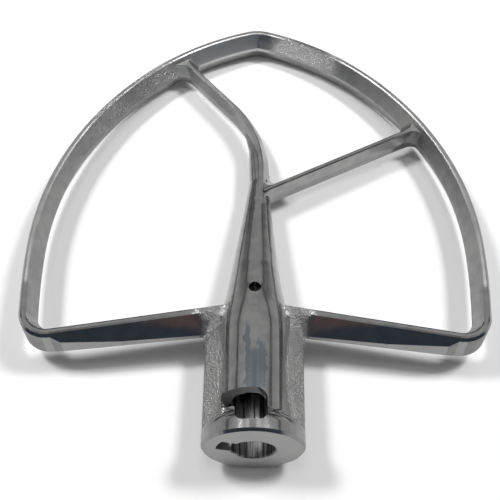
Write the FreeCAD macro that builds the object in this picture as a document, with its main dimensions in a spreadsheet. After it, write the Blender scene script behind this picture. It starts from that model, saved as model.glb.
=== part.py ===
import FreeCAD, Part
import math
import os

# Flat beater for a stand mixer: one casting, all sizes in millimetres.
# The casting is drawn about its own shaft line: the mouth of the hub is the
# zero point, the shaft line runs along +Y to the tip of the rim, and Z is
# square to the flat of the beater. At the end it is laid down as it rests.

SIZES = [
    # bore and hub
    ("bore_radius", 6.45, "bore, for a 12.7 mm drive shaft"),
    ("bore_depth", 50.0, "mouth to the blind end of the bore"),
    ("mouth_bevel", 0.4, "small bevel round the mouth of the bore"),
    ("collar_radius", 15.25, "outside of the collar"),
    ("collar_length", 5.9, "full-width part of the collar, before rounding"),
    ("collar_back", 2.6, "length over which the collar falls to the barrel"),
    ("collar_mouth_bevel", 0.8, "bevelled edge at the mouth"),
    ("collar_back_round", 3.5, "domed back of the collar"),
    ("barrel_radius", 10.6, "barrel behind the collar"),
    ("barrel_root_round", 2.0, "hollow where the collar meets the barrel"),
    ("barrel_length", 41.3, "mouth to where the barrel begins to taper"),
    ("barrel_round", 60.0, "long round from the barrel into the stem"),
    ("web_reach", 16.15, "side webs, to the sharp corner before rounding"),
    ("web_inner_reach", 7.0, "where the web faces run into the barrel"),
    ("web_inner_half", 7.45, "half depth of the webs at the barrel"),
    ("web_edge_round", 1.6, "rounded outer edge of the webs"),
    ("web_start", 2.8, "mouth to the start of the webs, inside the collar"),
    ("web_end", 40.0, "mouth to the end of the webs, inside the arms"),
    # slot for the cross pin
    ("pin_slot_width", 6.0, "width of the entry slot inside the collar"),
    ("pin_slot_reach", 10.9, "reach of the entry slot from the shaft line"),
    ("pin_slot_angle", 161.0, "direction of the entry slot round the bore"),
    ("window_left", 9.6, "left end of the window"),
    ("window_step", 9.9, "lower edge of the crossing part of the window"),
    ("window_top", 15.1, "upper edge of the window"),
    ("window_right", 4.1, "right side of the window"),
    ("seat_left", 5.4, "left side of the seat of the pin"),
    ("seat_front", 3.4, "front edge of the seat, behind the lip"),
    ("seat_round", 2.4, "rounded corners of the seat"),
    ("window_round", 3.4, "large rounded corner of the window"),
    ("step_round", 0.8, "rounded step from the window to the seat"),
    ("window_end_round", 0.5, "small corners at the left end of the window"),
    # drain hole
    ("vent_radius", 1.95, "small hole into the end of the bore"),
    ("vent_place", 49.6, "mouth to the middle of the small hole"),
    # rim section
    ("rim_half_depth", 6.15, "half depth of the rim and the arms"),
    ("rim_land", 1.45, "width of the narrow flat edge of the rim"),
    ("rim_inner_swell", 2.9, "how far the inner side swells at half depth"),
    ("rim_outer_swell", 0.9, "width of the bevel along the outer side"),
    ("rim_outer_band", 4.75, "half depth of the band below that bevel"),
    ("land_bevel", 0.3, "small bevels of the narrow edges"),
    ("ridge_round", 1.6, "rounded ridge at half depth"),
    # rim outline, taken at the outer corner of the flat edge
    ("rim_half_width", 74.0, "half of the widest width"),
    ("widest_place", 67.5, "mouth to the widest place"),
    ("side_radius", 258.0, "curve of the sides below the widest place"),
    ("shoulder_radius", 107.4, "curve of the shoulders"),
    ("shoulder_turn", 49.2, "turn of the shoulder curve in degrees"),
    ("crown_radius", 93.6, "curve of the crown beside the tip"),
    ("tip_radius", 12.5, "curve of the tip"),
    ("corner_radius", 8.5, "outer corners between arms and sides"),
    # arms
    ("arm_slope", 9.7, "slope of the arm's edge in degrees"),
    ("arm_outer_u", 60.0, "side place of the arm's outer section"),
    ("arm_outer_v", 34.8, "place of the arm's edge there"),
    ("arm_outer_swell", 2.2, "width of the near bevel there"),
    ("arm_outer_band", 2.9, "half depth of the near band there"),
    ("arm_middle_u", 42.0, "side place of the arm's middle section"),
    ("arm_middle_swell", 3.9, "width of the near bevel there"),
    ("arm_middle_band", 1.4, "half depth of the near band there"),
    ("arm_root_u", 8.0, "side place where the arm ends in the barrel"),
    ("arm_root_swell", 6.0, "width of the near bevel there"),
    ("arm_root_band", 0.6, "half depth of the near band there"),
    # braces
    ("brace_half_depth", 4.35, "half depth of the braces"),
    ("brace_land", 1.4, "width of the narrow flat edge of the braces"),
    ("brace_near_swell", 0.9, "swell of the near or left side of a brace"),
    ("brace_far_swell", 2.5, "swell of the far or right side of a brace"),
    ("brace_ridge_round", 2.0, "rounded ridge of the braces"),
    ("right_brace_v", 89.9, "place where the right brace line meets the shaft line"),
    ("right_brace_rise", 27.9, "rise of the right brace in degrees"),
    ("right_brace_start", 3.0, "start of the right brace inside the stem"),
    ("brace_sink", 1.0, "end of a brace, short of the rim's outer line"),
    ("left_brace_u", 1.7, "offset of the left brace where it leaves the stem"),
    ("left_brace_v", 84.0, "start of the left brace inside the stem"),
    ("left_bend_v", 100.5, "start of the bend"),
    ("left_bend_radius", 48.0, "radius of the bend"),
    ("left_bend_turn", 40.0, "turn of the bend in degrees"),
    # cast fillets where the bars meet
    ("fillet_leg", 1.5, "how far a fillet reaches past its round along each wall"),
    ("left_brace_left_fillet", 5.0, "left brace to rim, left side"),
    ("left_brace_right_fillet", 2.0, "left brace to rim, right side"),
    ("right_brace_near_fillet", 3.5, "right brace to rim, near side"),
    ("right_brace_far_fillet", 3.0, "right brace to rim, far side"),
    ("fork_wall_swell", 2.4, "swell of the stem's side at the fork"),
    ("fork_near_fillet", 5.0, "right brace to stem, near side"),
    ("fork_far_fillet", 2.0, "right brace to left brace, far side"),
    ("arm_far_fillet", 4.0, "arm to stem, far side"),
    ("stem_behind_arm", 9.4, "half width of the stem there, inside its skin"),
    ("arm_near_fillet", 1.8, "arm to web, near side, at half depth"),
    ("arm_near_top_fillet", 5.5, "the same fillet at its upper and lower ends"),
    ("arm_near_height", 5.9, "half depth of the fillet between arm and web"),
    ("fillet_sink", 0.6, "how far fillets start inside the skin"),
    ("level_gap", 0.02, "keeps a fillet's ends off the flat edges"),
]

# places along the stem: distance from the mouth, sideways drift, radius
STEM = [
    ("stem_a", 61.0, 0.0, 7.6),
    ("stem_b", 86.0, 0.7, 4.5),
    ("stem_c", 97.0, 1.25, 3.45),
    ("stem_d", 112.0, -0.2, 2.4),
    ("stem_e", 122.0, -3.6, 1.1),
]

doc = FreeCAD.newDocument("flat_beater")
sheet = doc.addObject("Spreadsheet::Sheet", "Sizes")
size = {}
row = 1
entries = list(SIZES)
for name, place, drift, radius in STEM:
    entries.append((name + "_place", place, "stem: distance from the mouth"))
    entries.append((name + "_drift", drift, "stem: sideways drift"))
    entries.append((name + "_radius", radius, "stem: radius"))
for name, value, note in entries:
    sheet.set("A%d" % row, note)
    sheet.set("B%d" % row, str(value))
    sheet.setAlias("B%d" % row, name)
    size[name] = value
    row += 1
doc.recompute()

X = FreeCAD.Vector(1, 0, 0)
Y = FreeCAD.Vector(0, 1, 0)
Z = FreeCAD.Vector(0, 0, 1)


def flat(x, y):
    return FreeCAD.Vector(x, y, 0)


def placed(origin, across, up):
    """A placement whose own X runs along across and own Y along up."""
    out = across.cross(up)
    matrix = FreeCAD.Matrix(
        across.x, up.x, out.x, origin.x,
        across.y, up.y, out.y, origin.y,
        across.z, up.z, out.z, origin.z,
        0, 0, 0, 1)
    return FreeCAD.Placement(matrix)


def round_centre(before, corner, after, radius):
    """Centre of the arc that rounds one corner."""
    first = (before - corner).normalize()
    second = (after - corner).normalize()
    half = first.getAngle(second) / 2.0
    return corner + (first + second).normalize() * (radius / math.sin(half))


def corner_arc(before, corner, after, radius):
    """The arc that rounds one corner, with its two ends."""
    first = (before - corner).normalize()
    second = (after - corner).normalize()
    half = first.getAngle(second) / 2.0
    reach = radius / math.tan(half)
    start = corner + first * reach
    end = corner + second * reach
    middle_line = (first + second).normalize()
    centre = corner + middle_line * (radius / math.sin(half))
    middle = centre - middle_line * radius
    return start, middle, end


def rounded(points):
    """Lines and arcs of a closed outline given as (x, y, corner radius)."""
    count = len(points)
    ends = []
    for index in range(count):
        x, y, radius = points[index]
        corner = flat(x, y)
        if radius <= 0:
            ends.append((corner, None, corner))
            continue
        before = flat(*points[index - 1][:2])
        after = flat(*points[(index + 1) % count][:2])
        ends.append(corner_arc(before, corner, after, radius))
    pieces = []
    for index in range(count):
        start, middle, end = ends[index]
        if middle is not None:
            pieces.append(Part.Arc(start, middle, end))
        following = ends[(index + 1) % count][0]
        if end.distanceToPoint(following) > 1e-6:
            pieces.append(Part.LineSegment(end, following))
    return pieces


def turned(centre, radius, start, stop):
    """An arc that runs anticlockwise from one angle to another."""
    return Part.ArcOfCircle(Part.Circle(centre, Z, radius), start, stop)


def sketch(name, pieces, placement=None):
    drawing = doc.addObject("Sketcher::SketchObject", name)
    drawing.addGeometry(pieces, False)
    if placement is not None:
        drawing.Placement = placement
    return drawing


def on_circle(centre, radius, angle):
    return centre + flat(math.cos(angle), math.sin(angle)) * radius


def wall(half_depth, swell, band, ridge_round):
    """One side of a bar from top to bottom, measured out from its narrow edge."""
    bevel = size["land_bevel"]
    drop = swell * bevel / (half_depth - band)
    if band > 0:
        middle = [(swell, band, 0), (swell, -band, 0)]
    else:
        middle = [(swell, 0, ridge_round)]
    top = [(-bevel, half_depth, 0), (drop, half_depth - bevel, 0)]
    bottom = [(drop, bevel - half_depth, 0), (-bevel, -half_depth, 0)]
    return top + middle + bottom


def bar_section(land, outer_wall, inner_wall):
    """Closed section: x runs inward from the outer corner of the narrow edge."""
    outside = [(-x, y, radius) for x, y, radius in outer_wall]
    inside = [(land + x, y, radius) for x, y, radius in inner_wall]
    return rounded(outside + inside[::-1])


def sweep(name, section, path):
    bar = doc.addObject("Part::Sweep", name)
    bar.Sections = [section]
    edges = ["Edge%d" % (n + 1) for n in range(path.GeometryCount)]
    bar.Spine = (path, edges)
    bar.Solid = True
    bar.Frenet = False
    return bar


def loft(name, sections):
    body = doc.addObject("Part::Loft", name)
    body.Sections = sections
    body.Solid = True
    body.Ruled = True
    return body


# Rim: one bar of even section, bent round from arm to arm through the tip.
side_centre = flat(size["rim_half_width"] - size["side_radius"], size["widest_place"])
shoulder_centre = flat(
    size["rim_half_width"] - size["shoulder_radius"], size["widest_place"])
shoulder_end = math.radians(size["shoulder_turn"])
shoulder_stop = on_circle(shoulder_centre, size["shoulder_radius"], shoulder_end)
crown_centre = on_circle(shoulder_stop, -size["crown_radius"], shoulder_end)
tip_radius = size["tip_radius"]
crown_end = math.acos(-crown_centre.x / (size["crown_radius"] - tip_radius))
tip_centre = on_circle(crown_centre, size["crown_radius"] - tip_radius, crown_end)

slope = math.radians(size["arm_slope"])
arm_start = flat(size["arm_outer_u"], size["arm_outer_v"])
arm_along = flat(math.cos(slope), -math.sin(slope))
arm_inward = flat(math.sin(slope), math.cos(slope))
offset = arm_start + arm_inward * size["corner_radius"] - side_centre
along = offset.dot(arm_along)
clear = offset.dot(offset) - (size["side_radius"] - size["corner_radius"]) ** 2
run = -along + math.sqrt(along * along - clear)
corner_centre = side_centre + offset + arm_along * run
arm_stop = arm_start + arm_along * run
corner_begin = -math.pi / 2 - slope
corner_line = corner_centre - side_centre
corner_finish = math.atan2(corner_line.y, corner_line.x)


def mirrored_arc(centre, radius, start, stop):
    return turned(flat(-centre.x, centre.y), radius, math.pi - stop, math.pi - start)


half_path = [
    (corner_centre, size["corner_radius"], corner_begin, corner_finish),
    (side_centre, size["side_radius"], corner_finish, 0.0),
    (shoulder_centre, size["shoulder_radius"], 0.0, shoulder_end),
    (crown_centre, size["crown_radius"], shoulder_end, crown_end),
]
path_pieces = [turned(*arc) for arc in half_path]
path_pieces.append(turned(tip_centre, tip_radius, crown_end, math.pi - crown_end))
path_pieces += [mirrored_arc(*arc) for arc in reversed(half_path)]
rim_path = sketch("rim_path", path_pieces)
rim_depth = size["rim_half_depth"]
rim_inner_wall = wall(rim_depth, size["rim_inner_swell"], 0, size["ridge_round"])


def rim_outline(swell, band):
    """Section of the rim or the arm: a bevel above and below a flat outer band."""
    return bar_section(size["rim_land"], wall(rim_depth, swell, band, 0), rim_inner_wall)


rim_section = sketch("rim_section",
                     rim_outline(size["rim_outer_swell"], size["rim_outer_band"]),
                     placed(arm_stop, arm_inward, Z))
rim = sweep("rim", rim_section, rim_path)

# Arms: the same section; the bevel of the near side widens toward the barrel.
arm_sections = [rim_section]
for name in ("arm_outer", "arm_middle", "arm_root"):
    back_along = (size["arm_outer_u"] - size[name + "_u"]) / math.cos(slope)
    section_place = placed(arm_start - arm_along * back_along, arm_inward, Z)
    outline = rim_outline(size[name + "_swell"], size[name + "_band"])
    arm_sections.append(sketch(name + "_section", outline, section_place))
right_arm = loft("right_arm", arm_sections)
left_arm = doc.addObject("Part::Mirroring", "left_arm")
left_arm.Source = right_arm
left_arm.Normal = X

# Braces: shallower bars of the same kind.
half_land = size["brace_land"] / 2.0
brace_depth = size["brace_half_depth"]
brace_outline = bar_section(
    size["brace_land"],
    wall(brace_depth, size["brace_near_swell"], 0, size["brace_ridge_round"]),
    wall(brace_depth, size["brace_far_swell"], 0, size["brace_ridge_round"]))


def to_circle(start, along, centre, radius):
    """How far a line runs from inside a circle until it crosses it."""
    offset = start - centre
    back = offset.dot(along)
    return math.sqrt(back * back - offset.dot(offset) + radius * radius) - back


rise = math.radians(size["right_brace_rise"])
right_along = flat(math.cos(rise), math.sin(rise))
right_across = flat(-math.sin(rise), math.cos(rise))
right_start = flat(0, size["right_brace_v"]) + right_along * size["right_brace_start"]
right_run = to_circle(right_start, right_along, shoulder_centre, size["shoulder_radius"])
right_outer = right_start + right_along * right_run
right_outward = (right_outer - shoulder_centre).normalize()
right_end = right_outer - right_along * size["brace_sink"]
right_path = sketch("right_brace_path", [Part.LineSegment(right_start, right_end)])
right_section = sketch(
    "right_brace_section", brace_outline,
    placed(right_start - right_across * half_land, right_across, Z))
right_brace = sweep("right_brace", right_section, right_path)

left_start = flat(size["left_brace_u"], size["left_brace_v"])
bend_start = flat(size["left_brace_u"], size["left_bend_v"])
bend_centre = bend_start - X * size["left_bend_radius"]
bend_turn = math.radians(size["left_bend_turn"])
bend_stop = on_circle(bend_centre, size["left_bend_radius"], bend_turn)
left_along = flat(-math.sin(bend_turn), math.cos(bend_turn))
left_across = flat(math.cos(bend_turn), math.sin(bend_turn))
left_crown = flat(-crown_centre.x, crown_centre.y)
left_run = to_circle(bend_stop, left_along, left_crown, size["crown_radius"])
left_outer = bend_stop + left_along * left_run
left_outward = (left_outer - left_crown).normalize()
left_end = left_outer - left_along * size["brace_sink"]
left_path = sketch("left_brace_path", [
    Part.LineSegment(left_start, bend_start),
    turned(bend_centre, size["left_bend_radius"], 0.0, bend_turn),
    Part.LineSegment(bend_stop, left_end),
])
left_section = sketch("left_brace_section", brace_outline,
                      placed(left_start - X * half_land, X, Z))
left_brace = sweep("left_brace", left_section, left_path)

# Upper stem: round, tapering and drifting until it is lost in the left brace.
rings = []
for name, place, drift, radius in STEM:
    ring = doc.addObject("Part::Circle", name + "_ring")
    ring.setExpression("Radius", "Sizes.%s_radius" % name)
    ring.Placement = FreeCAD.Placement(
        FreeCAD.Vector(drift, place, 0), FreeCAD.Rotation(X, -90))
    rings.append(ring)
stem = loft("stem", rings)

# Hub and lower stem: turned about the shaft line, with a web on each side.
back = size["collar_length"] + size["collar_back"]
hub_outline = rounded([
    (0, 0, 0),
    (size["collar_radius"] - size["collar_mouth_bevel"], 0, 0),
    (size["collar_radius"], size["collar_mouth_bevel"], 0),
    (size["collar_radius"], size["collar_length"], size["collar_back_round"]),
    (size["barrel_radius"], back, size["barrel_root_round"]),
    (size["barrel_radius"], size["barrel_length"], size["barrel_round"]),
    (size["stem_a_radius"], size["stem_a_place"], 0),
    (0, size["stem_a_place"], 0),
])
hub_section = sketch("hub_section", hub_outline)
hub = doc.addObject("Part::Revolution", "hub")
hub.Source = hub_section
hub.Axis = Y
hub.Base = flat(0, 0)
hub.Angle = 360
hub.Solid = True

reach = size["web_reach"]
inner = size["web_inner_reach"]
inner_half = size["web_inner_half"]
web_outline = rounded([
    (reach, 0, size["web_edge_round"]),
    (inner, inner_half, 0),
    (-inner, inner_half, 0),
    (-reach, 0, size["web_edge_round"]),
    (-inner, -inner_half, 0),
    (inner, -inner_half, 0),
])
web_section = sketch("web_section", web_outline,
                     placed(flat(0, size["web_end"]), X, Z))
webs = doc.addObject("Part::Extrusion", "webs")
webs.Base = web_section
webs.DirMode = "Custom"
webs.Dir = Y * -1
webs.Solid = True
webs.setExpression("LengthFwd", "Sizes.web_end - Sizes.web_start")


# Cast fillets: small drafted pieces that fill the corners between two bars.
def bar_half(w, side):
    """Half width of a brace at one height; side is -1 for near or left."""
    swell = size["brace_near_swell"] if side < 0 else size["brace_far_swell"]
    return half_land + swell * (1 - abs(w) / size["brace_half_depth"])


def rim_wall(w):
    swell = size["rim_inner_swell"] * (1 - abs(w) / size["rim_half_depth"])
    return size["rim_land"] + swell


def meeting(point, along, wall_point, wall_along):
    """Where a line through one point crosses a line through another."""
    gap = wall_point - point
    down = along.x * wall_along.y - along.y * wall_along.x
    return point + along * ((gap.x * wall_along.y - gap.y * wall_along.x) / down)


def fill_outline(corner, first, second, radius):
    """Corner piece: two legs along the walls, a hollow round, a square back."""
    half = first.getAngle(second) / 2.0
    leg = radius / math.tan(half) + size["fillet_leg"]
    one = corner + first * leg
    two = corner + second * leg
    back = (first + second).normalize() * -1.0
    start, middle, end = corner_arc(one, corner, two, radius)
    return [
        Part.LineSegment(one, start),
        Part.Arc(start, middle, end),
        Part.LineSegment(end, two),
        Part.LineSegment(two, two + back),
        Part.LineSegment(two + back, corner + back),
        Part.LineSegment(corner + back, one + back),
        Part.LineSegment(one + back, one),
    ]


def corner_fill(name, height, radius, corner_at, end_radius=None):
    """Piece lofted through three levels; corner_at gives corner and walls."""
    drawings = []
    ends = end_radius or radius
    for tag, w, round_off in (("low", -height, ends), ("middle", 0.0, radius),
                              ("high", height, ends)):
        corner, first, second = corner_at(w)
        drawing = sketch("%s_%s" % (name, tag),
                         fill_outline(corner, first, second, round_off),
                         FreeCAD.Placement(Z * w, FreeCAD.Rotation()))
        drawings.append(drawing)
    return loft(name, drawings)


def rim_corner(start, along, across, side, outward, outer_point):
    """Corner between one side of a brace and the inner wall of the rim."""
    def corner_at(w):
        wall_point = outer_point - outward * rim_wall(w)
        wall_along = flat(-outward.y, outward.x)
        if wall_along.dot(across) * side < 0:
            wall_along = wall_along * -1
        edge_point = start + across * (side * bar_half(w, side))
        return meeting(edge_point, along, wall_point, wall_along), along * -1, wall_along
    return corner_at


brace_height = brace_depth - size["level_gap"]
fills = [
    corner_fill("right_brace_near", brace_height, size["right_brace_near_fillet"],
                rim_corner(right_start, right_along, right_across, -1,
                           right_outward, right_outer)),
    corner_fill("right_brace_far", brace_height, size["right_brace_far_fillet"],
                rim_corner(right_start, right_along, right_across, 1,
                           right_outward, right_outer)),
    corner_fill("left_brace_left", brace_height, size["left_brace_left_fillet"],
                rim_corner(left_end, left_along, left_across, -1,
                           left_outward, left_outer)),
    corner_fill("left_brace_right", brace_height, size["left_brace_right_fillet"],
                rim_corner(left_end, left_along, left_across, 1,
                           left_outward, left_outer)),
]


def fork_corner(side):
    """Corner between the right brace and the stem or the left brace."""
    def corner_at(w):
        level = 1 - abs(w) / size["brace_half_depth"]
        wall_x = size["left_brace_u"] + half_land + size["fork_wall_swell"] * level
        edge_point = right_start + right_across * (side * bar_half(w, side))
        corner = meeting(edge_point, right_along, flat(wall_x, 0), Y)
        return corner, right_along, Y * side
    return corner_at


fork_height = brace_height - size["fillet_sink"]
fills.append(corner_fill("fork_near", fork_height,
                         size["fork_near_fillet"], fork_corner(-1)))
fills.append(corner_fill("fork_far", fork_height,
                         size["fork_far_fillet"], fork_corner(1)))
taper = (size["barrel_radius"] - size["stem_a_radius"]) / (
    size["stem_a_place"] - size["barrel_length"])


def arm_far_corner(w):
    """Corner between the far side of the right arm and the stem."""
    edge_point = arm_start + arm_inward * rim_wall(w)
    wall_x = math.sqrt(size["stem_behind_arm"] ** 2 - w ** 2)
    corner = meeting(edge_point, arm_along, flat(wall_x, 0), Y)
    return corner, arm_along, (Y - X * taper).normalize()


arm_fill = corner_fill("right_arm_far", rim_depth - size["level_gap"],
                       size["arm_far_fillet"], arm_far_corner)
fills.append(arm_fill)
web_slope = (size["web_reach"] - size["web_inner_reach"]) / size["web_inner_half"]


def arm_near_point(name, w):
    """Point of the arm's near side at one of its sections and one height."""
    band = size[name + "_band"]
    level = min(1.0, (rim_depth - abs(w)) / (rim_depth - band))
    back_along = (size["arm_outer_u"] - size[name + "_u"]) / math.cos(slope)
    return (arm_start - arm_along * back_along
            - arm_inward * (size[name + "_swell"] * level))


def arm_near_corner(w):
    """Corner between the near side of the right arm and the side web."""
    middle_point = arm_near_point("arm_middle", w)
    root_point = arm_near_point("arm_root", w)
    edge_along = (middle_point - root_point).normalize()
    wall_x = size["web_reach"] - size["fillet_sink"] - web_slope * abs(w)
    corner = meeting(root_point, edge_along, flat(wall_x, 0), Y)
    return corner, edge_along, Y * -1


web_fill = corner_fill("right_arm_near", size["arm_near_height"],
                       size["arm_near_fillet"], arm_near_corner,
                       size["arm_near_top_fillet"])
fills.append(web_fill)
for source, name in ((arm_fill, "left_arm_far"), (web_fill, "left_arm_near")):
    other_side = doc.addObject("Part::Mirroring", name)
    other_side.Source = source
    other_side.Normal = X
    fills.append(other_side)


blank = doc.addObject("Part::MultiFuse", "blank")
blank.Shapes = [rim, right_arm, left_arm, right_brace, left_brace, stem, hub, webs] + fills
blank.Refine = False

# Hollows: bore from the mouth, entry slot and window for the cross pin, vent.
lead = 1.0
along_shaft = FreeCAD.Rotation(X, -90)


def cylinder(name, radius_text, height_text, placement):
    round_bar = doc.addObject("Part::Cylinder", name)
    round_bar.setExpression("Radius", radius_text)
    round_bar.setExpression("Height", height_text)
    round_bar.Placement = placement
    return round_bar


before_mouth = FreeCAD.Placement(flat(0, -lead), along_shaft)
bore = cylinder("bore", "Sizes.bore_radius", "Sizes.bore_depth + %g" % lead, before_mouth)
bevel = doc.addObject("Part::Cone", "mouth_bevel_cone")
bevel.setExpression("Radius1", "Sizes.bore_radius + Sizes.mouth_bevel + %g" % lead)
bevel.setExpression("Radius2", "Sizes.bore_radius")
bevel.setExpression("Height", "Sizes.mouth_bevel + %g" % lead)
bevel.Placement = before_mouth

slot_bar = doc.addObject("Part::Box", "pin_slot_bar")
slot_bar.setExpression("Length", "Sizes.pin_slot_reach + %g" % lead)
slot_bar.setExpression("Width", "Sizes.window_top + %g" % lead)
slot_bar.setExpression("Height", "Sizes.pin_slot_width")
slot_turn = FreeCAD.Rotation(Y, -size["pin_slot_angle"])
slot_bar.Placement = FreeCAD.Placement(
    slot_turn.multVec(Z * (-size["pin_slot_width"] / 2)) - Y * lead, slot_turn)
slot_round = cylinder("pin_slot_round", "Sizes.pin_slot_reach",
                      "Sizes.window_top + %g" % lead, before_mouth)
pin_slot = doc.addObject("Part::Common", "pin_slot")
pin_slot.Base = slot_bar
pin_slot.Tool = slot_round

window_outline = rounded([
    (-size["window_left"], size["window_step"], size["window_end_round"]),
    (-size["seat_left"], size["window_step"], size["step_round"]),
    (-size["seat_left"], size["seat_front"], size["seat_round"]),
    (size["window_right"], size["seat_front"], size["seat_round"]),
    (size["window_right"], size["window_top"], size["window_round"]),
    (-size["window_left"], size["window_top"], size["window_end_round"]),
])
window_drawing = sketch("window_outline", window_outline)
window = doc.addObject("Part::Extrusion", "window")
window.Base = window_drawing
window.DirMode = "Custom"
window.Dir = Z
window.Solid = True
window.setExpression("LengthFwd", "Sizes.collar_radius + %g" % lead)

vent = cylinder("vent", "Sizes.vent_radius", "Sizes.collar_radius",
                FreeCAD.Placement(flat(0, size["vent_place"]), FreeCAD.Rotation()))

hollows = doc.addObject("Part::MultiFuse", "hollows")
hollows.Shapes = [bore, bevel, pin_slot, window, vent]
hollows.Refine = False

# Laid down as it rests: the back of the collar and the tip of the rim touch.
back_round = size["collar_back_round"]
collar_centre = round_centre(
    flat(size["collar_radius"], 0),
    flat(size["collar_radius"], size["collar_length"]),
    flat(size["barrel_radius"], back), back_round)
tip_line = tip_centre.y + tip_radius - size["land_bevel"]
reach_between = tip_line - collar_centre.y
drop_between = collar_centre.x - rim_depth
tilt = math.atan2(drop_between, reach_between)
tilt += math.asin(back_round / math.hypot(reach_between, drop_between))
lift = collar_centre.y * math.sin(tilt) + collar_centre.x * math.cos(tilt) + back_round
beater = doc.addObject("Part::Cut", "flat_beater")
beater.Base = blank
beater.Tool = hollows
beater.Refine = False
beater.Label = "flat_beater"
doc.recompute()
laid = FreeCAD.Rotation(X, -math.degrees(tilt))
beater.Placement = FreeCAD.Placement(Z * lift, laid)
doc.recompute()
box = beater.Shape.optimalBoundingBox(False)
beater.Placement = FreeCAD.Placement(Z * lift - Y * box.Center.y, laid)
doc.recompute()

for thing in doc.Objects:
    state = ",".join(thing.State)
    if "Invalid" in state or "Error" in state:
        raise SystemExit("%s is %s" % (thing.Name, state))
    if hasattr(thing, "Shape"):
        if thing.Shape.isNull() or not thing.Shape.isValid():
            raise SystemExit("%s has no valid shape" % thing.Name)
if len(beater.Shape.Solids) != 1:
    raise SystemExit("the casting is not one solid")
print("tilt", math.degrees(tilt), "lift", lift)
print("faces", len(beater.Shape.Faces), "volume", beater.Shape.Volume)
print(beater.Shape.optimalBoundingBox(False))
print("bore from", beater.Placement.multVec(flat(0, size["mouth_bevel"])))
print("bore leaves along", laid.multVec(Y * -1))

os.makedirs("parts", exist_ok=True)
beater.Shape.exportStep("parts/flat_beater.step")
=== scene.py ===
import math

import bpy
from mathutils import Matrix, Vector

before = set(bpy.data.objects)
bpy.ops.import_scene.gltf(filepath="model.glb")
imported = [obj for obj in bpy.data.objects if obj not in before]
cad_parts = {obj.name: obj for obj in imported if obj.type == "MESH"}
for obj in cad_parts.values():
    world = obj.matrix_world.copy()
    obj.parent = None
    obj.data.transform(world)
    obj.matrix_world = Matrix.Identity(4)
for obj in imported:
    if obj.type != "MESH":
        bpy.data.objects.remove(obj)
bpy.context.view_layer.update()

# The beater: one stainless steel casting, poured in a two-part mould with draft on
# every wall. It is tumbled and polished by hand, so the arms and the barrel come
# out as mirrors, while the inner walls stay satin and hold some of the cast grain.
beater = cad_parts["flat_beater"]

steel_colour = (0.285, 0.285, 0.28, 1.0)
worn_colour = (0.24, 0.24, 0.24, 1.0)
painted_light_colour = (0.44, 0.44, 0.435, 1.0)
ground_colour = (0.36, 0.36, 0.355, 1.0)
grain_colour = (0.26, 0.26, 0.256, 1.0)
painted_reflection_colour = (0.145, 0.165, 0.180, 1.0)
bore_colour = (0.62, 0.63, 0.65, 1.0)
shaded_bore_colour = (0.25, 0.25, 0.25, 1.0)
streak_colour = (0.06, 0.06, 0.06, 1.0)
shaded_slot_colour = (0.19, 0.19, 0.19, 1.0)

satin_roughness = 0.34
mirror_roughness = 0.07
grain_roughness = 0.32
ground_roughness = 0.50
bore_roughness = 0.40
under_roughness = 0.55
uneven_roughness = 0.05

steel = bpy.data.materials.new("polished_steel")
steel.use_nodes = True
nodes = steel.node_tree.nodes
links = steel.node_tree.links
shader = nodes["Principled BSDF"]
shader.inputs["Metallic"].default_value = 1.0

place = nodes.new("ShaderNodeTexCoord").outputs["Object"]
facing = nodes.new("ShaderNodeNewGeometry").outputs["True Normal"]


def reckon(operation, first, second=None, third=None):
    """A sum over the surface; each value is a number or a socket."""
    node = nodes.new("ShaderNodeMath")
    node.operation = operation
    for socket, value in zip(node.inputs, (first, second, third)):
        if value is None:
            continue
        if isinstance(value, (int, float)):
            socket.default_value = value
        else:
            links.new(value, socket)
    return node.outputs[0]


def times(first, second):
    """Where both masks hold, or a mask made weaker by a number."""
    return reckon("MULTIPLY", first, second)


def either(first, second):
    """Where one mask or the other holds."""
    return reckon("MAXIMUM", first, second)


def above(value, low, high):
    """Rises smoothly from 0 to 1 while value goes from low to high."""
    node = nodes.new("ShaderNodeMapRange")
    node.interpolation_type = "SMOOTHSTEP"
    node.inputs["From Min"].default_value = low
    node.inputs["From Max"].default_value = high
    links.new(value, node.inputs["Value"])
    return node.outputs[0]


def below(value, low, high):
    """Falls smoothly from 1 to 0 while value goes from low to high."""
    return reckon("SUBTRACT", 1.0, above(value, low, high))


def shifted(operation, vector, amount):
    """Moves, stretches or divides a vector by a fixed amount."""
    node = nodes.new("ShaderNodeVectorMath")
    node.operation = operation
    links.new(vector, node.inputs[0])
    node.inputs[1].default_value = amount
    return node.outputs[0]


def patch(middle, reach, soft=0.35):
    """A soft-edged spot on the casting, given in millimetres."""
    away = shifted("SUBTRACT", place, [v / 1000 for v in middle])
    away = shifted("DIVIDE", away, [v / 1000 for v in reach])
    length = nodes.new("ShaderNodeVectorMath")
    length.operation = "LENGTH"
    links.new(away, length.inputs[0])
    return below(length.outputs["Value"], 1 - soft, 1 + soft)


def speckle(scale, detail, stretch=(1, 1, 1)):
    """Uneven texture of the metal; scale is in cells per metre."""
    node = nodes.new("ShaderNodeTexNoise")
    node.inputs["Scale"].default_value = scale
    node.inputs["Detail"].default_value = detail
    links.new(shifted("MULTIPLY", place, stretch), node.inputs["Vector"])
    return node.outputs["Fac"]


def towards(value, other, mask):
    """Moves a number toward another by a mask."""
    node = nodes.new("ShaderNodeMix")
    node.data_type = "FLOAT"
    for socket, part in zip(node.inputs[:1] + node.inputs[2:4], (mask, value, other)):
        if isinstance(part, (int, float)):
            socket.default_value = part
        else:
            links.new(part, socket)
    return node.outputs[0]


def tinted(value, other, mask):
    """Moves a colour toward another by a mask."""
    node = nodes.new("ShaderNodeMix")
    node.data_type = "RGBA"
    links.new(mask, node.inputs[0])
    for socket, part in zip(node.inputs[6:8], (value, other)):
        if isinstance(part, tuple):
            socket.default_value = part
        else:
            links.new(part, socket)
    return node.outputs[2]


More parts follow.
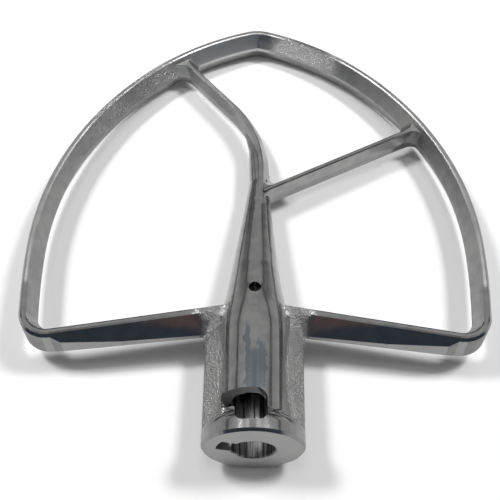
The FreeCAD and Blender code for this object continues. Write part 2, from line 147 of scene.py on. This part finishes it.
axes = nodes.new("ShaderNodeSeparateXYZ")
links.new(place, axes.inputs[0])
across, along, height = axes.outputs
off_centre = reckon("ABSOLUTE", across)
slopes = nodes.new("ShaderNodeSeparateXYZ")
links.new(facing, slopes.inputs[0])
slope_along = slopes.outputs["Y"]
slope_up = slopes.outputs["Z"]

# mirror faces: the near sides of the arms, the barrel with the stem, a spot at the
# tip and the right brace; the arms' faces that lean under stay rough
barrel_polish = 0.9
tip_polish = 0.45
brace_polish = 0.8
arms = times(above(off_centre, 0.0155, 0.0175), below(along, -0.0330, -0.0300))
under_arms = times(arms, below(slope_up, 0.30, 0.38))
near_arms = times(arms, above(slope_up, 0.38, 0.46))
barrel = times(below(off_centre, 0.0100, 0.0120), below(along, 0.0100, 0.0300))
tip = patch((2.9, 79.0, 8.0), (3.2, 5.0, 8.0), 0.25)
right_brace = patch((29.0, 22.0, 9.0), (33.0, 16.0, 9.0), 0.12)
mirror = either(near_arms, times(barrel, barrel_polish))
mirror = either(mirror, times(tip, tip_polish))
mirror = either(mirror, times(right_brace, brace_polish))

# cast grain: on the webs, in the corners by the arms, and on some inner walls,
# each with its middle, its reach and how deep the grain is
left_web = (-13.0, -60.0, 17.0)
right_web = (13.5, -60.0, 17.0)
web_reach = (4.5, 20.0, 12.0)
corner_reach = (5.0, 6.0, 8.0)
grain_spots = [
    (left_web, web_reach, 0.55),
    (right_web, web_reach, 0.65),
    ((-14.0, -38.0, 20.0), corner_reach, 0.80),
    ((14.0, -38.0, 20.0), corner_reach, 0.80),
    ((19.0, 74.0, 8.0), (13.5, 9.0, 9.0), 1.30),
    ((-36.0, 57.0, 8.0), (14.0, 12.0, 9.0), 0.60),
    ((-51.0, 38.0, 8.0), (10.0, 15.0, 9.0), 0.60),
    ((-17.0, 52.0, 9.0), (10.0, 14.0, 5.0), 0.60),
    ((60.0, 18.0, 8.0), (8.0, 20.0, 9.0), 0.30),
]
grained = 0.0
for middle, reach, depth in grain_spots:
    grained = either(times(patch(middle, reach, 0.45), depth), grained)
webs = either(patch(left_web, web_reach, 0.3), patch(right_web, web_reach, 0.3))
coarse_grain = 1400.0
fine_grain = 3000.0
pebble = reckon("ADD", speckle(coarse_grain, 1.0), speckle(fine_grain, 1.0))
pebble = above(times(pebble, 0.5), 0.35, 0.65)

# a painted dark reflection on top of the barrel: a darker blotch with ragged sides and a
# smooth tongue in it
dark_reflection_middle = 0.0004
tongue_middle = -0.0002
raggedness = 0.0040
ragged = speckle(500.0, 4.0, (1.0, 0.6, 1.0))
ragged = reckon("MULTIPLY_ADD", ragged, raggedness, -raggedness / 2)
moved = reckon("ADD", across, ragged)
from_middle = reckon("ABSOLUTE", reckon("SUBTRACT", moved, dark_reflection_middle))
from_tongue = reckon("ABSOLUTE", reckon("SUBTRACT", moved, tongue_middle))
slanted = reckon("MULTIPLY_ADD", moved, 1.5, along)
tongue = times(below(from_tongue, 0.0008, 0.0012), above(along, -0.0570, -0.0550))
dark_reflection = times(below(from_middle, 0.0030, 0.0034), above(slope_up, 0.7, 0.8))
dark_reflection = times(dark_reflection, below(slanted, -0.0520, -0.0490))
dark_reflection = times(dark_reflection, above(along, -0.0690, -0.0680))
dark_reflection = times(dark_reflection, reckon("SUBTRACT", 1.0, tongue))

# the mouth of the hub is ground flat, which leaves faint straight marks
mouth = below(slope_along, -0.996, -0.985)
marks = speckle(900.0, 2.0, (0.12, 1.0, 2.2))

# the bore is drilled and holds dark streaks; it leans with the hub
bore_lean = -0.0556
bore_middle = 0.01078
off_middle = reckon("SUBTRACT", height, reckon("MULTIPLY_ADD", along, bore_lean, bore_middle))
radius = reckon("ADD", times(across, across), times(off_middle, off_middle))
radius = reckon("SQRT", radius)
inside = times(below(radius, 0.0066, 0.0070), below(along, -0.0340, -0.0300))
streaks = above(speckle(900.0, 2.0, (1.0, 0.04, 1.0)), 0.45, 0.60)

# the slot beside the bore is rougher, and its walls are painted darker: painted shade in the
# recess
slot = patch((-7.7, -82.0, 17.5), (3.3, 7.0, 3.3), 0.15)
slot = times(slot, above(slope_along, -0.90, -0.80))

rough = towards(satin_roughness, mirror_roughness, mirror)
rough = towards(rough, grain_roughness, grained)
rough = towards(rough, ground_roughness, mouth)
rough = towards(rough, bore_roughness, inside)
rough = towards(rough, under_roughness, either(under_arms, slot))
uneven = above(speckle(90.0, 3.0), 0.3, 0.7)
rough = reckon("MULTIPLY_ADD", uneven, uneven_roughness, rough)
links.new(rough, shader.inputs["Roughness"])

colour = tinted(steel_colour, worn_colour, above(speckle(260.0, 5.0), 0.35, 0.65))
# painted light: the upper inner walls that face the front are painted lighter than the rest
# of the steel
lit_upper_walls = patch((-8.0, 72.0, 8.0), (38.0, 16.0, 12.0), 0.3)
lit_upper_walls = times(lit_upper_walls, below(slope_along, -0.5, -0.3))
colour = tinted(colour, painted_light_colour, lit_upper_walls)
colour = tinted(colour, grain_colour, webs)
colour = tinted(colour, painted_reflection_colour, dark_reflection)
colour = tinted(colour, ground_colour, mouth)
# painted shade: the bore is painted darker by the mouth than further in
bore_tone_with_shade = tinted(shaded_bore_colour, bore_colour, above(along, -0.0800, -0.0700))
colour = tinted(colour, tinted(bore_tone_with_shade, streak_colour, streaks), inside)
colour = tinted(colour, shaded_slot_colour, slot)
links.new(colour, shader.inputs["Base Color"])


def relief(height_map, distance, strength, under=None):
    """Bump laid over the one under it; strength is a number or a socket."""
    bump = nodes.new("ShaderNodeBump")
    bump.inputs["Distance"].default_value = distance
    links.new(height_map, bump.inputs["Height"])
    if isinstance(strength, float):
        bump.inputs["Strength"].default_value = strength
    else:
        links.new(strength, bump.inputs["Strength"])
    if under is not None:
        links.new(under, bump.inputs["Normal"])
    return bump.outputs["Normal"]


# polishing leaves soft waves, and rolls the near faces of the arms over toward
# their top edge; the cast grain and the grinding marks are much finer
roll_start = 0.0105
roll_depth = -13.0
plain_grain = 0.08
mirror_grain = -0.07
dark_reflection_grain = 0.03
spot_grain = 0.75
marks_strength = 0.8
surface = relief(speckle(130.0, 1.5, (1.0, 0.3, 1.0)), 0.0004, 0.35)
level = either(reckon("SUBTRACT", height, roll_start), 0.0)
surface = relief(times(times(level, level), roll_depth), 1.0, near_arms, surface)
grain_depth = reckon("MULTIPLY_ADD", mirror, mirror_grain, plain_grain)
grain_depth = reckon("MULTIPLY_ADD", grained, spot_grain, grain_depth)
grain_depth = reckon("MULTIPLY_ADD", dark_reflection, dark_reflection_grain, grain_depth)
surface = relief(pebble, 0.0004, grain_depth, surface)
surface = relief(marks, 0.00004, times(mouth, marks_strength), surface)
links.new(surface, shader.inputs["Normal"])

beater.data.materials.clear()
beater.data.materials.append(steel)

# The table: a smooth round sheet of white paper that the beater lies on. It keeps
# the shadow, and the metal mirrors it as it is.
table_radius = 0.8
paper_colour = (0.96, 0.96, 0.96, 1.0)
bpy.ops.mesh.primitive_circle_add(vertices=128, radius=table_radius, fill_type="NGON")
table = bpy.context.object
table.name = "table_top"
paper = bpy.data.materials.new("pale_sheet")
paper.use_nodes = True
nodes = paper.node_tree.nodes
links = paper.node_tree.links
nodes.clear()
out = nodes.new("ShaderNodeOutputMaterial")
matt = nodes.new("ShaderNodeBsdfDiffuse")
matt.inputs["Color"].default_value = paper_colour
links.new(matt.outputs[0], out.inputs["Surface"])
table.data.materials.append(paper)

# The studio: a lamp overhead, and a soft lamp with a small one beside it on the
# left and on the right, all aimed at the beater. Each has its place, width and watts.
lamps = [
    ("top_lamp", (0.00, 0.00, 0.90), 0.24, 0.8),
    ("left_lamp", (-0.42, 0.15, 0.80), 0.16, 3.9),
    ("right_lamp", (0.42, 0.15, 0.80), 0.16, 3.9),
    ("left_ceiling_lamp", (-0.56, 0.10, 0.70), 0.05, 0.35),
    ("right_ceiling_lamp", (0.56, 0.10, 0.70), 0.05, 0.35),
]
for name, spot, width, power in lamps:
    light = bpy.data.lights.new(name, "AREA")
    light.shape = "SQUARE"
    light.size = width
    light.energy = power
    lamp = bpy.data.objects.new(name, light)
    lamp.location = spot
    lamp.rotation_euler = (-Vector(spot)).to_track_quat("-Z", "Y").to_euler()
    bpy.context.scene.collection.objects.link(lamp)

# The room round the table, seen only as background and in the metal: pale walls, a
# pale ceiling with two bright panels, and a dark end behind the camera that turns
# warm high up. Each wall grey has its height, from straight down to straight up.
dark_end_colour = (0.082, 0.102, 0.133, 1)
warm_end_colour = (0.230, 0.163, 0.156, 1)
panel_colour = (1.7, 1.7, 1.7, 1)
back_corner_colour = (0.12, 0.12, 0.12, 1)
fill_colour = (0.14, 0.14, 0.142, 1)
wall_greys = [
    (0.00, 0.78),
    (0.10, 0.75),
    (0.40, 0.62),
    (0.43, 0.10),
    (0.47, 0.10),
    (0.50, 0.66),
    (1.00, 0.78),
]

world = bpy.data.worlds.new("studio")
bpy.context.scene.world = world
world.use_nodes = True
nodes = world.node_tree.nodes
links = world.node_tree.links
nodes.clear()
out = nodes.new("ShaderNodeOutputWorld")
path = nodes.new("ShaderNodeLightPath")
direction = nodes.new("ShaderNodeTexCoord")
axes = nodes.new("ShaderNodeSeparateXYZ")
links.new(direction.outputs["Generated"], axes.inputs[0])
aside, ahead, upward = axes.outputs
aside = reckon("ABSOLUTE", aside)

walls = nodes.new("ShaderNodeValToRGB")
while len(walls.color_ramp.elements) < len(wall_greys):
    walls.color_ramp.elements.new(0.5)
for stop, (position, grey) in zip(walls.color_ramp.elements, wall_greys):
    stop.position = position
    stop.color = (grey, grey, grey, 1)
links.new(upward, walls.inputs["Fac"])

panels = times(above(aside, 0.12, 0.15), below(aside, 0.34, 0.40))
panels = times(panels, above(upward, 0.86, 0.89))
back_corner = times(above(ahead, 0.68, 0.80), below(upward, 0.30, 0.45))
warm = times(above(aside, 0.03, 0.05), above(upward, 0.66, 0.70))
dark_end = times(below(ahead, -0.40, -0.10), above(upward, 0.02, 0.08))
view = tinted(walls.outputs["Color"], panel_colour, panels)
view = tinted(view, back_corner_colour, back_corner)
view = tinted(view, tinted(dark_end_colour, warm_end_colour, warm), dark_end)

room = nodes.new("ShaderNodeBackground")
links.new(view, room.inputs["Color"])
fill = nodes.new("ShaderNodeBackground")
fill.inputs["Color"].default_value = fill_colour
# the camera, metal and glass look at the room; all other light is the plain fill
looked_at = either(path.outputs["Is Camera Ray"], path.outputs["Is Glossy Ray"])
looked_at = either(looked_at, path.outputs["Is Transmission Ray"])
studio = nodes.new("ShaderNodeMixShader")
links.new(looked_at, studio.inputs["Fac"])
links.new(fill.outputs[0], studio.inputs[1])
links.new(room.outputs[0], studio.inputs[2])
links.new(studio.outputs[0], out.inputs["Surface"])

# The camera: above and in front of the hub, as in the photograph.
camera_place = (0.000587, -0.161914, 0.263012)
camera_tilt = (30.3632, 0.1242, 0.7051)
camera_data = bpy.data.cameras.new("camera")
camera_data.lens = 63.0
camera_data.sensor_width = 36.0
camera_data.clip_start = 0.01
camera = bpy.data.objects.new("camera", camera_data)
camera.location = camera_place
camera.rotation_euler = [math.radians(angle) for angle in camera_tilt]
bpy.context.scene.collection.objects.link(camera)
bpy.context.scene.camera = camera

bpy.context.scene.view_settings.view_transform = "Standard"
